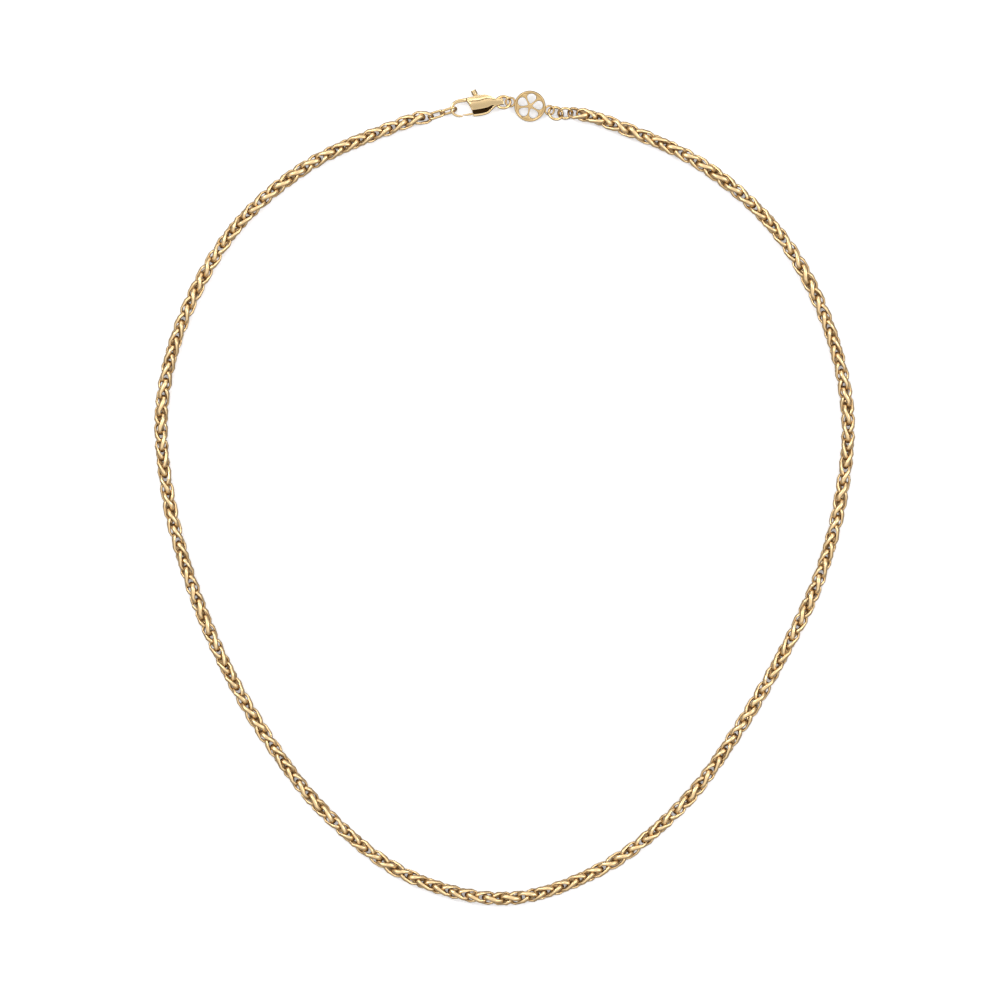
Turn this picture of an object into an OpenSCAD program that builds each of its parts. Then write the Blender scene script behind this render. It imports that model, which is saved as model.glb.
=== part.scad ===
// Wheat chain necklace, 500 mm round, with a lobster clasp, a pierced tag and three jump rings.
// Millimetres, +Z up. The necklace lies on z = 0 as a closed loop, clasp and tag at its top (+Y).
// Its two wheat strands are plain tubes here, as thick as the chain and as long as its real run.

/* [Wheat chain] */
// Outer diameter of the wheat chain
chain_d = 3.0; // [2.6:0.1:3.6]
// Wire of the wheat chain's links
chain_wire = 0.8; // [0.6:0.05:0.9]
// Width of the loop that the chain lies in
loop_w = 149; // [140:1:158]
// Height of the loop from the level of its ends to its bottom
loop_h = 168.7; // [160:0.1:178]

/* [Jump rings] */
// Outer diameter of a jump ring
ring_od = 3.6; // [3.4:0.1:4.4]
// Wire of a jump ring
ring_wire = 0.6; // [0.45:0.05:0.65]
// Lean of the two rings that hang in the tag's lugs
ring_lean = 28; // [26:1:34]
// Lean of the ring next to the wheat chain
ring_lean_end = 48; // [42:1:54]
// Play between two rings that pull on each other
ring_slack = 0.3; // [0.25:0.05:0.5]

/* [End links] */
// Length of a plain end link
link_len = 4.0; // [3.8:0.1:5.0]
// Width of a plain end link
link_w = 2.4; // [2.3:0.1:2.8]
// Wire of a plain end link
link_wire = 0.55; // [0.4:0.05:0.6]
// Lean of the end link in the clasp's hook
link_lean = 66; // [60:1:72]
// Play between an end link and what it pulls on
link_slack = 0.15; // [0.1:0.05:0.3]
// Play between the end link and the clasp's hook
hook_slack = 0.4; // [0.35:0.05:0.6]

/* [Tag] */
// Diameter of the pierced disc
tag_d = 6.8; // [6:0.1:8]
// Thickness of the disc's rim
tag_t = 0.9; // [0.7:0.1:1.2]
// Thickness of the pierced field inside the rim
field_t = 0.6; // [0.4:0.1:0.7]
// Width of the disc's rim
rim_w = 0.5; // [0.4:0.05:0.7]
// Number of petal windows in the disc
petals = 5; // [5:1:7]
// Outer diameter of the lug on each side of the disc
lug_od = 2.4; // [2.3:0.1:2.8]
// Wire of a lug
lug_wire = 0.45; // [0.35:0.05:0.5]
// Lean of the disc about the line through its lugs
tag_lean = 15; // [13:1:20]

/* [Clasp] */
// Length from the middle of the hook's eye to the middle of the tail's slot
clasp_len = 7.8; // [7.4:0.1:9]
// Height of the clasp's body across its broad face
clasp_h = 4.4; // [4.2:0.1:5]
// Thickness of the clasp's body
clasp_t = 2.4; // [2.2:0.1:2.8]
// Width of the hook's wire at the back of its bend
hook_w = 0.66; // [0.55:0.01:0.75]
// Thickness of the hook
hook_t = 0.75; // [0.6:0.05:0.8]
// Thickness of the lever
lever_t = 0.6; // [0.45:0.05:0.7]
// Gap between the lever and each side of its slot
lever_gap = 0.1; // [0.08:0.01:0.15]
// Diameter of the lever's thumb knob
knob_d = 1.2; // [1.1:0.1:1.4]
// Length of the thumb knob
knob_len = 1.05; // [0.9:0.05:1.2]
// Diameter of the lever's pin
pin_d = 0.7; // [0.5:0.05:0.8]
// Radial play of the lever on its pin
pin_play = 0.05; // [0.03:0.01:0.08]

/* [Hidden] */
$fn = 48;

// Sides of the strand tubes, rings of tube between two route points, and half the gap at the join
tube_sides = 12;
tube_steps = 3;
join_gap = 0.05;
// Small overlap that makes a cut run clear through a wall
cut = 1;

// Where the run lies: height of its middle, the middle of the tag, and the headings of its stretches
run_z = chain_d / 2;
tag_z = tag_d / 2 * sin(tag_lean) + tag_t / 2 * cos(tag_lean) + 0.02;
tag_at = [5.5, 85, tag_z];
tag_heading = -12;
clasp_heading = 10;
clasp_ring_heading = 2;
tag_ring_heading = -26;
chain_ring_heading = 0;
end_link_heading = 17;
// How far end_link_1 is turned from end_link_2 about the run
link_turn = 112;

// Route of the wheat chain's middle, from its left end down the left side, round the bottom and up the right
chain_route = [
    [-21.5, 81.5], [-42, 72.5], [-58.5, 58.5], [-69.5, 39.5], [-74.5, 19.5], [-73, -0.5], [-68, -19],
    [-61, -36], [-51.5, -52.5], [-39, -68.5], [-21.5, -82], [0.5, -87.2], [21.5, -80.5], [38.5, -67],
    [50.5, -51], [60, -35], [68, -18.5], [73, -0.5], [74.5, 19], [69.5, 39.5], [59, 58], [42.5, 72.5],
    [22.5, 81.5],
];
// Which of these points is the join of the two strands
join_at = 11;
// The same route spread to the loop's width and height
route_x = [for (p = chain_route) p[0]];
route_top = chain_route[0][1];
spread_x = loop_w / (max(route_x) - min(route_x));
spread_y = loop_h / (route_top - chain_route[join_at][1]);
loop_route = [for (p = chain_route) [p[0] * spread_x, route_top + (p[1] - route_top) * spread_y]];

// Radii of the wires' middle lines
ring_r = (ring_od - ring_wire) / 2;
lug_r = (lug_od - lug_wire) / 2;
link_r = (link_w - link_wire) / 2;
link_half = (link_len - link_wire) / 2;
eye_r = (chain_d - chain_wire) / 2;

// A heading as a unit step in plan, a place moved to another height, and a plan vector turned
function step(heading) = [cos(heading), sin(heading), 0];
function on_level(place, z) = [place[0], place[1], z];
function turned(p, a) = [p[0] * cos(a) - p[1] * sin(a), p[0] * sin(a) + p[1] * cos(a), 0];

// Places of the fittings, each from the one before it
lug_seat = 0.25;
lug_reach = tag_d / 2 + lug_od / 2 - lug_seat;
left_lug_at = tag_at - lug_reach * step(tag_heading);
right_lug_at = tag_at + lug_reach * step(tag_heading);
clasp_z = clasp_t / 2;
clasp_ring_at = on_level(left_lug_at - ring_r * step(clasp_ring_heading), (clasp_z + tag_z) / 2);
tail_at = clasp_ring_at - ring_r * step(clasp_ring_heading);
clasp_at = on_level(tail_at - clasp_len * step(clasp_heading), clasp_z);
tag_ring_at = right_lug_at + ring_r * step(tag_ring_heading);
chain_ring_at = on_level(tag_ring_at + (2 * ring_r - ring_wire - ring_slack) * step(chain_ring_heading),
                         ring_r * sin(ring_lean_end) + ring_wire / 2);

// The hook is an elliptic bend: its middle, its half axes, and the angles where it starts and ends
hook_mid = [-0.1, 0.07];
hook_rx = 2.0;
hook_ry = 1.67;
hook_from = 82;
hook_to = 280;
// Width of the hook as a share of hook_w where it leaves the body and at its tip
hook_root_share = 1.3;
hook_tip_share = 0.7;

// Middle of the hook's wire where the end link bears, and from there the end links and the strands' ends
hook_back = clasp_at + turned([hook_mid[0] - hook_rx, hook_mid[1]], clasp_heading);
end_link_2_at = hook_back + (hook_w / 2 + link_wire / 2 + hook_slack - link_half) * step(end_link_heading);
end_link_1_at = on_level(end_link_2_at - (2 * link_half - link_wire - link_slack) * step(end_link_heading),
                         (clasp_z + run_z) / 2);
left_end = on_level(end_link_1_at - (link_half + link_wire / 2 + link_slack) * step(end_link_heading), run_z);
right_end = on_level(chain_ring_at + (ring_r + ring_wire / 2 + link_slack) * step(chain_ring_heading), run_z);
// How far the last wheat link of a strand stands out past its solid run
eye_out = 2 * link_slack + max(ring_wire, link_wire) + chain_wire;

// Petal windows of the disc: where they start and end as shares of the field, and how much of it they fill
petal_in = 0.2;
petal_out = 0.97;
petal_fill = 0.8;
petal_steps = 16;

// Clasp body outline: share of the length from its front to its end, top and bottom as shares of half height
body_front = 1.4;
tail_past = 1.5;
body_rows = [
    // along, top, bottom
    [0.00, 0.96, 0.86],
    [0.14, 0.96, 0.97],
    [0.28, 0.98, 1.00],
    [0.42, 1.00, 1.00],
    [0.55, 0.95, 0.90],
    [0.68, 0.72, 0.58],
    [0.80, 0.40, 0.34],
    [0.92, 0.27, 0.27],
    [1.00, 0.34, 0.34],
];
// The front edge bows back from the hook's root: how high it starts, as a share, and how far it bows
front_top = 0.68;
front_bow = 0.95;
// How far the front cheek's lower edge is cut back, as a share of the outline, and the rim below it
cheek_cut = 0.38;
rim_low = 0.42;
// Fall of both broad faces towards their edges, as a share of the thickness
face_fall = 0.2;
// Creases where the upper bevel starts: a point on each and its heading, and the bevel's slope
creases = [[[2.3, 1.18], -2], [[6.2, 1.05], -19]];
bevel_z = 0.12;
bevel_slope = 24;
// Metal left over the pin at the front face, and the pin's play at both of its ends
pin_cover = 0.4;
pin_short = 0.05;
slot_t = lever_t + 2 * lever_gap;
// Tail block and the slot for the ring
tail_from = 0.72;
tail_slot_w = ring_wire + 1.0;
tail_slot_h = ring_wire + 1.2;
tail_slot_u = clasp_len + 0.22;
tail_slot_z = clasp_ring_at[2] - clasp_z;

// Lever: pin, knob and gate tip in the clasp's own frame, and the parting line with the hook's tip
pivot = [4.2, 0.1];
knob_at = [3.4, clasp_h / 2 + 0.8];
stem_w = 1.0;
hub_r = pin_d / 2 + 0.5;
gate_h = 0.5;
gate_v = -1.52;
part_at = [0.3, -1.6];
part_lean = 30;
part_gap = 0.1;
// The lever's swing, and the room that it needs round its stem and hub
lever_swing = 22;
stem_room = 0.15;

// Catmull-Rom curve through the points p, n steps to a span
function curve_point(a, b, c, d, t) =
    0.5 * (2 * b + t * (c - a) + t * t * (2 * a - 5 * b + 4 * c - d) + t * t * t * (3 * b - a - 3 * c + d));
function curve(p, n) = [
    for (i = [0 : len(p) - 2], k = [0 : n - 1])
        curve_point(p[max(i - 1, 0)], p[i], p[i + 1], p[min(i + 2, len(p) - 1)], k / n),
    p[len(p) - 1]
];

function unit(v) = v / norm(v);
function path_dir(p, i) = unit(p[min(i + 1, len(p) - 1)] - p[max(i - 1, 0)]);

// Round bar of radius r swept along the points p, closed at both ends, its end faces square to from and to
module sweep(p, from, to, r, sides) {
    rows = [for (i = [0 : len(p) - 1])
        let (t = i == 0 ? from : i == len(p) - 1 ? to : path_dir(p, i),
             s = unit(cross(t, [0, 0, 1])), u = cross(s, t))
        for (k = [0 : sides - 1]) p[i] + r * (cos(360 * k / sides) * s + sin(360 * k / sides) * u)];
    last = len(p) - 1;
    walls = [for (i = [0 : last - 1], k = [0 : sides - 1])
        let (a = i * sides + k, b = i * sides + (k + 1) % sides)
        for (f = [[a, b, b + sides], [a, b + sides, a + sides]]) f];
    near_cap = [[for (k = [sides - 1 : -1 : 0]) k]];
    far_cap = [[for (k = [0 : sides - 1]) last * sides + k]];
    polyhedron(points = rows, faces = concat(near_cap, walls, far_cap));
}

// Ring of round wire, lying flat
module wire_ring(r, wire) {
    rotate_extrude() translate([r, 0]) circle(d = wire, $fn = 24);
}

// Long link of round wire with round ends, lying flat along X
module wire_link(half, r, wire) {
    straight = half - r;
    for (end = [1, -1])
        translate([end * straight, 0, 0]) rotate([0, 0, 90 - 90 * end])
            rotate([0, 0, -90]) rotate_extrude(angle = 180) translate([r, 0]) circle(d = wire, $fn = 24);
    for (side = [1, -1])
        translate([-straight, side * r, 0]) rotate([0, 90, 0]) cylinder(h = 2 * straight, d = wire, $fn = 24);
}

// Puts a flat fitting at a place, turned to a heading and leaned about its own length
module set_at(place, heading, lean) {
    translate(place) rotate([0, 0, heading]) rotate([lean, 0, 0]) children();
}

// The chain's middle line from end to end, and its direction at the join
chain_line = curve([for (q = concat([left_end], loop_route, [right_end])) [q[0], q[1], run_z]], tube_steps);
join_row = tube_steps * (join_at + 1);
join_dir = path_dir(chain_line, join_row);

// Open end of a wheat link, its mouth sunk into the solid run
module last_eye() {
    bend_at = eye_out - chain_wire / 2 - eye_r;
    leg = eye_r + 0.4;
    translate([bend_at, 0, 0]) rotate([0, 0, -90]) rotate_extrude(angle = 180)
        translate([eye_r, 0]) circle(d = chain_wire, $fn = 24);
    for (side = [1, -1])
        translate([bend_at - leg, side * eye_r, 0]) rotate([0, 90, 0])
            cylinder(h = leg, d = chain_wire, $fn = 24);
}

// Left half of the wheat chain: a solid run from the join, and the eye of the last link at its end
module left_strand() {
    run = concat([chain_line[join_row] - join_gap * join_dir],
                 [for (i = [join_row - 1 : -1 : 0]) chain_line[i]]);
    color("goldenrod") {
        sweep(run, -join_dir, step(end_link_heading), chain_d / 2, tube_sides);
        set_at(left_end, end_link_heading, link_lean) last_eye();
    }
}

// Right half of the wheat chain
module right_strand() {
    run = concat([chain_line[join_row] + join_gap * join_dir],
                 [for (i = [join_row + 1 : len(chain_line) - 1]) chain_line[i]]);
    heading = 180 + chain_ring_heading;
    color("goldenrod") {
        sweep(run, join_dir, step(heading), chain_d / 2, tube_sides);
        set_at(right_end, heading, 90 - ring_lean_end) last_eye();
    }
}

// Plain end link next to the wheat chain
module end_link_1() {
    color("gold") set_at(end_link_1_at, end_link_heading, link_lean - link_turn)
        wire_link(link_half, link_r, link_wire);
}

// Plain end link that hangs in the clasp's hook
module end_link_2() {
    color("gold") set_at(end_link_2_at, end_link_heading, link_lean)
        wire_link(link_half, link_r, link_wire);
}

module clasp_ring() {
    color("gold") set_at(clasp_ring_at, clasp_ring_heading, -ring_lean) wire_ring(ring_r, ring_wire);
}

module tag_ring() {
    color("gold") set_at(tag_ring_at, tag_ring_heading, -ring_lean) wire_ring(ring_r, ring_wire);
}

module chain_ring() {
    color("gold") set_at(chain_ring_at, chain_ring_heading, ring_lean_end) wire_ring(ring_r, ring_wire);
}

// One petal window of the disc, from the hub out towards the rim
module petal_window() {
    field_r = tag_d / 2 - rim_w;
    from = petal_in * field_r;
    to = petal_out * field_r;
    half = petal_fill * 180 / petals;
    edge = [for (i = [0 : petal_steps])
        let (s = (1 - cos(180 * i / petal_steps)) / 2, r = from + s * (to - from))
        [r, half * pow(1 - pow(abs(2 * s - 1), 2.5), 0.5)]];
    polygon(concat([for (e = edge) e[0] * [cos(e[1]), sin(e[1])]],
                   [for (i = [petal_steps - 1 : -1 : 1]) edge[i][0] * [cos(edge[i][1]), -sin(edge[i][1])]]));
}

// Pierced disc with a rolled rim and a lug soldered on at each side
module tag() {
    color("gold") set_at(tag_at, tag_heading, tag_lean) {
        difference() {
            translate([0, 0, -field_t / 2]) cylinder(h = field_t, r = tag_d / 2 - rim_w / 2, $fn = 64);
            for (i = [0 : petals - 1])
                rotate([0, 0, 90 + 360 * i / petals]) translate([0, 0, -field_t / 2 - cut])
                    linear_extrude(field_t + 2 * cut) petal_window();
        }
        rotate_extrude($fn = 64) translate([tag_d / 2 - rim_w, -tag_t / 2]) square([rim_w, tag_t]);
        for (side = [1, -1]) translate([side * lug_reach, 0, 0]) wire_ring(lug_r, lug_wire);
    }
}

// Outline of the clasp's body; lower is the share of the lower half that is kept
function body_u(share) = body_front + share * (clasp_len + tail_past - body_front);
function lower_v(row, lower) = -row[2] * (row[0] < tail_from ? lower : 1) * clasp_h / 2;
function body_outline(lower) = concat(
    curve([for (r = body_rows) [body_u(r[0]), r[1] * clasp_h / 2]], 3),
    curve([for (i = [len(body_rows) - 1 : -1 : 1])
               [body_u(body_rows[i][0]), lower_v(body_rows[i], lower)]], 3),
    [for (t = [0 : 0.1 : 1])
        let (low = lower_v(body_rows[0], lower), high = front_top * clasp_h / 2)
        [body_front + front_bow * cos(90 * t), low + t * (high - low)]]
);

// Hook in plan: an elliptic bend that narrows to its tip, and a straight root into the body
function hook_point(a) = hook_mid + [hook_rx * cos(a), hook_ry * sin(a)];
function hook_normal(a) = let (n = [cos(a) / hook_rx, sin(a) / hook_ry]) n / norm(n);
function hook_half(a) = let (s = (a - hook_from) / (hook_to - hook_from))
    hook_w / 2 * (s < 0.5 ? hook_root_share + (1 - hook_root_share) * 2 * s
                          : 1 + (hook_tip_share - 1) * (2 * s - 1));
module hook_plan() {
    angles = [for (i = [0 : 32]) hook_from + (hook_to - hook_from) * i / 32];
    root_u = body_front + 1.2;
    top = hook_point(hook_from);
    root = hook_half(hook_from);
    polygon(concat(
        [[root_u, top[1] + root]],
        [for (a = angles) hook_point(a) + hook_half(a) * hook_normal(a)],
        [for (i = [len(angles) - 1 : -1 : 0])
            hook_point(angles[i]) - hook_half(angles[i]) * hook_normal(angles[i])],
        [[root_u, top[1] - root]]));
}

// Everything on one side of the slanting line where the gate meets the hook's tip
module part_side(side, gap) {
    translate(part_at) rotate([0, 0, -part_lean])
        translate([-6, side > 0 ? gap / 2 : -6 - gap / 2]) square([12, 6]);
}

// Hollow of the body, in plan, in which the lever swings; the stem's way out is as wide as its swing
module lever_pocket() {
    right = pivot[0] + hub_r + stem_room + 0.4;
    roof = clasp_h / 2 - 0.95;
    sill = -clasp_h / 2 + 0.28;
    polygon([[body_front - 0.2, -clasp_h], [body_front - 0.2, roof], [right, roof], [right, -0.9],
             [right - 1.3, sill], [body_front + 1.7, sill], [body_front + 1.2, -clasp_h]]);
    stem_left = knob_at[0] - stem_w / 2 - stem_room;
    stem_edge = [knob_at[0] + stem_w / 2 + stem_room - pivot[0], knob_at[1] - pivot[1]];
    stem_right = pivot[0] + turned(stem_edge, -lever_swing)[0];
    translate([stem_left, 0]) square([stem_right - stem_left, clasp_h]);
}

// Clasp in its own frame: hook, two cheeks round the lever's slot, and a tail with a slot for the ring
module clasp_shape() {
    difference() {
        union() {
            intersection() {
                translate([0, 0, -clasp_t / 2])
                    linear_extrude(clasp_t / 2 + slot_t / 2) polygon(body_outline(1));
                cheek_round();
            }
            intersection() {
                translate([0, 0, slot_t / 2]) linear_extrude(clasp_t / 2 - slot_t / 2) {
                    polygon(body_outline(cheek_cut));
                    difference() {
                        polygon(body_outline(1));
                        translate([0, rim_low]) polygon(body_outline(1));
                        translate([0, -rim_low]) square([clasp_len, clasp_h]);
                    }
                }
                cheek_round();
            }
            translate([0, 0, -hook_t / 2]) linear_extrude(hook_t) intersection() {
                hook_plan();
                union() {
                    part_side(-1, part_gap);
                    translate([-6, 0]) square([12, 6]);
                    translate([-6, -6]) square([6 + part_at[0] - 0.75, 12]);
                }
            }
        }
        translate([0, 0, -slot_t / 2]) linear_extrude(slot_t) lever_pocket();
        translate([pivot[0], pivot[1], -clasp_t]) cylinder(h = 1.5 * clasp_t - pin_cover, d = pin_d);
        tail_slot();
    }
}

// Both broad faces are struck round a long arc and bevelled along the top
module cheek_round() {
    fall = face_fall * clasp_t;
    arc_r = (pow(clasp_h / 2, 2) + pow(fall, 2)) / (2 * fall);
    reach = clasp_len + tail_past + 2 * cut;
    difference() {
        intersection_for(face = [1, -1])
            translate([-cut, 0, face * (clasp_t / 2 - arc_r)]) rotate([0, 90, 0])
                cylinder(h = reach, r = arc_r, $fn = 96);
        for (face = [0, 1], crease = creases)
            mirror([0, 0, face]) translate([crease[0][0], crease[0][1], clasp_t / 2 - bevel_z])
                rotate([0, 0, crease[1]]) rotate([-bevel_slope, 0, 0])
                    translate([-reach, 0, 0]) cube([2 * reach, clasp_h, clasp_t]);
    }
}

// Slot through the tail, along the clasp's height, long enough for a leaning ring
module tail_slot() {
    reach = (tail_slot_h - tail_slot_w) / 2;
    for (end = [1, -1])
        translate([tail_slot_u, clasp_h, tail_slot_z + end * reach]) rotate([90, 0, 0])
            cylinder(h = 2 * clasp_h, d = tail_slot_w);
    translate([tail_slot_u - tail_slot_w / 2, -clasp_h, tail_slot_z - reach])
        cube([tail_slot_w, 2 * clasp_h, 2 * reach]);
}

// Lever in its own plane: hub on the pin, stem to the knob, and arm to the gate's tip
module lever_plan() {
    arm_u = pivot[0] - 0.75;
    difference() {
        union() {
            translate(pivot) circle(r = hub_r);
            polygon([[pivot[0] - stem_w / 2, pivot[1]], [pivot[0] + stem_w / 2, pivot[1]],
                     [knob_at[0] + stem_w / 2, knob_at[1]], [knob_at[0] - stem_w / 2, knob_at[1]]]);
            polygon([[pivot[0] - hub_r, pivot[1]], [pivot[0], pivot[1] - hub_r], [arm_u, gate_v - gate_h / 2],
                     [-cut, gate_v - gate_h / 2], [-cut, gate_v + gate_h / 2],
                     [arm_u - 0.6, gate_v + gate_h / 2]]);
        }
        part_side(-1, -part_gap);
        translate(pivot) circle(d = pin_d + 2 * pin_play);
    }
}

module clasp_place() {
    translate(clasp_at) rotate([0, 0, clasp_heading]) children();
}

module clasp_body() {
    color("gold") clasp_place() clasp_shape();
}

module clasp_lever() {
    color("gold") clasp_place() {
        translate([0, 0, -lever_t / 2]) linear_extrude(lever_t) lever_plan();
        translate([knob_at[0], knob_at[1], 0])
            rotate([0, 0, atan2(pivot[0] - knob_at[0], knob_at[1] - pivot[1])])
            translate([0, -knob_len / 2, 0]) rotate([-90, 0, 0]) cylinder(h = knob_len, d = knob_d);
    }
}

module clasp_pin() {
    color("gold") clasp_place() translate([pivot[0], pivot[1], pin_short - clasp_t / 2])
        cylinder(h = clasp_t - pin_cover - 2 * pin_short, d = pin_d);
}

left_strand();
right_strand();
end_link_1();
end_link_2();
clasp_body();
clasp_lever();
clasp_pin();
clasp_ring();
tag();
tag_ring();
chain_ring();
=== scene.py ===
"""Wheat chain necklace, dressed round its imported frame: links, fittings, finishes, studio and camera."""

import logging
from collections.abc import Iterator
from dataclasses import dataclass, field
from enum import Enum
from functools import lru_cache

import bmesh
import bpy
import numpy as np
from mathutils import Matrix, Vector


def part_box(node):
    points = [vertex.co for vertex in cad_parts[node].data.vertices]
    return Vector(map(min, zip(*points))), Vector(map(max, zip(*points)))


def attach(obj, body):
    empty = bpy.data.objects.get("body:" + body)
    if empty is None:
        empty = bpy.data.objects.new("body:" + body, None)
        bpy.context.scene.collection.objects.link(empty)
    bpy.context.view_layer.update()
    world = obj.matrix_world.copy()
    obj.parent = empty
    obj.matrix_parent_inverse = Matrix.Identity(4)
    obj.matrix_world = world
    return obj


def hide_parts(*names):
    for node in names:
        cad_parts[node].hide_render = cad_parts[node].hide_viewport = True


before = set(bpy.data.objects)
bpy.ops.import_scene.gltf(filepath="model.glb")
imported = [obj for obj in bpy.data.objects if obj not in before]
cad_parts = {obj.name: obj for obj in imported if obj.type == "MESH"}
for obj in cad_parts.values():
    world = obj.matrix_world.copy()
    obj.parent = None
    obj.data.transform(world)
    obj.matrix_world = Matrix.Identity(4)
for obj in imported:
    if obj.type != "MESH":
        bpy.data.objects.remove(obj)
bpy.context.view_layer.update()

LOG = logging.getLogger("necklace")
MM = 0.001
UP = np.array([0.0, 0.0, 1.0])
Array = np.ndarray


def unit(vectors: Array) -> Array:
    """Vectors scaled to length one."""
    return vectors / np.linalg.norm(vectors, axis=-1, keepdims=True)


def signed_power(values: Array, power: float) -> Array:
    """Power of the size of each value, with its sign kept."""
    return np.sign(values) * np.abs(values) ** power


def ramp(values: Array, width: float) -> Array:
    """Rises from 0 to 1 while the values go from 0 to the width."""
    return np.clip(values / width, 0, 1)


def heading_step(degrees: float) -> Array:
    """Unit step in plan towards a heading."""
    turn = np.radians(degrees)
    return np.array([np.cos(turn), np.sin(turn), 0.0])


def turn_about_z(degrees: float) -> Array:
    """Matrix of a turn in plan."""
    turn = np.radians(degrees)
    return np.array(
        [[np.cos(turn), -np.sin(turn), 0], [np.sin(turn), np.cos(turn), 0], [0, 0, 1]]
    )


def turn_about_x(degrees: float) -> Array:
    """Matrix of a lean about the x axis."""
    lean = np.radians(degrees)
    return np.array(
        [[1, 0, 0], [0, np.cos(lean), -np.sin(lean)], [0, np.sin(lean), np.cos(lean)]]
    )


def flat_circle(radius: float, count: int) -> Array:
    """Points of a circle round the origin, in the plane z = 0."""
    turn = 2 * np.pi * np.arange(count) / count
    return radius * np.stack([np.cos(turn), np.sin(turn), 0 * turn], axis=-1)


def in_plan(radius: Array, turn: Array) -> Array:
    """Points x, y at some radii and turns round the origin."""
    return np.stack([radius * np.cos(turn), radius * np.sin(turn)], axis=-1)


def mesh_points(mesh: bpy.types.Mesh) -> Array:
    """Points of a mesh, in millimetres."""
    points = np.empty(len(mesh.vertices) * 3)
    mesh.vertices.foreach_get("co", points)
    return points.reshape(-1, 3) / MM


def move_points(mesh: bpy.types.Mesh, points: Array) -> None:
    """Moves the points of a mesh to new places, given in millimetres."""
    mesh.vertices.foreach_set("co", (points * MM).ravel())
    mesh.update()


def mark_painted_shade(mesh: bpy.types.Mesh, tones: Array) -> None:
    """Stores the painted shade at each point of a mesh, 0 to 1, for the finishes to read."""
    tone = mesh.attributes.new("painted_shade", "FLOAT", "POINT")
    tone.data.foreach_set("value", tones)


def weld(mesh: bpy.types.Mesh, distance: float, outwards: bool = False) -> None:
    """Joins the points of a mesh that coincide.

    Args:
        mesh: the mesh, which is changed.
        distance: how near two points have to lie to be joined, in millimetres.
        outwards: turns all faces outwards again afterwards.
    """
    welded = bmesh.new()
    welded.from_mesh(mesh)
    bmesh.ops.remove_doubles(welded, verts=welded.verts, dist=distance * MM)
    if outwards:
        bmesh.ops.recalc_face_normals(welded, faces=welded.faces)
    welded.to_mesh(mesh)
    welded.free()


def add_object(name: str, data: bpy.types.ID) -> bpy.types.Object:
    """Makes an object of some data and links it to the scene."""
    made = bpy.data.objects.new(name, data)
    bpy.context.scene.collection.objects.link(made)
    return made


def node_middle(node: str) -> Array:
    """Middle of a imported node's box, in millimetres."""
    low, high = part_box(node)
    return (np.array(low) + np.array(high)) / 2 / MM


@dataclass(frozen=True)
class Seat:
    """Place, heading and lean of a fitting: leaned about its own length, then turned in plan."""

    place: Array
    heading: float = 0.0
    lean: float = 0.0

    def put(self, points: Array) -> Array:
        """Moves points from the fitting's own frame to the necklace's.

        Args:
            points: array whose last axis is x, y, z in millimetres.

        Returns:
            The moved points.
        """
        turned = turn_about_z(self.heading) @ turn_about_x(self.lean)
        return points @ turned.T + self.place

    def take(self, points: Array) -> Array:
        """Moves points from the necklace's frame to the own frame of a fitting that has no lean."""
        return (points - self.place) @ turn_about_z(self.heading)

    @property
    def normal(self) -> Array:
        """Direction in which the fitting's own z axis points."""
        return self.put(UP) - self.place


class Polish(Enum):
    """How far the gold is polished: roughness where it is brightest and where it is dullest."""

    BRIGHT = (0.10, 0.22)
    SOFT = (0.16, 0.30)
    SATIN = (0.26, 0.42)


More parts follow.
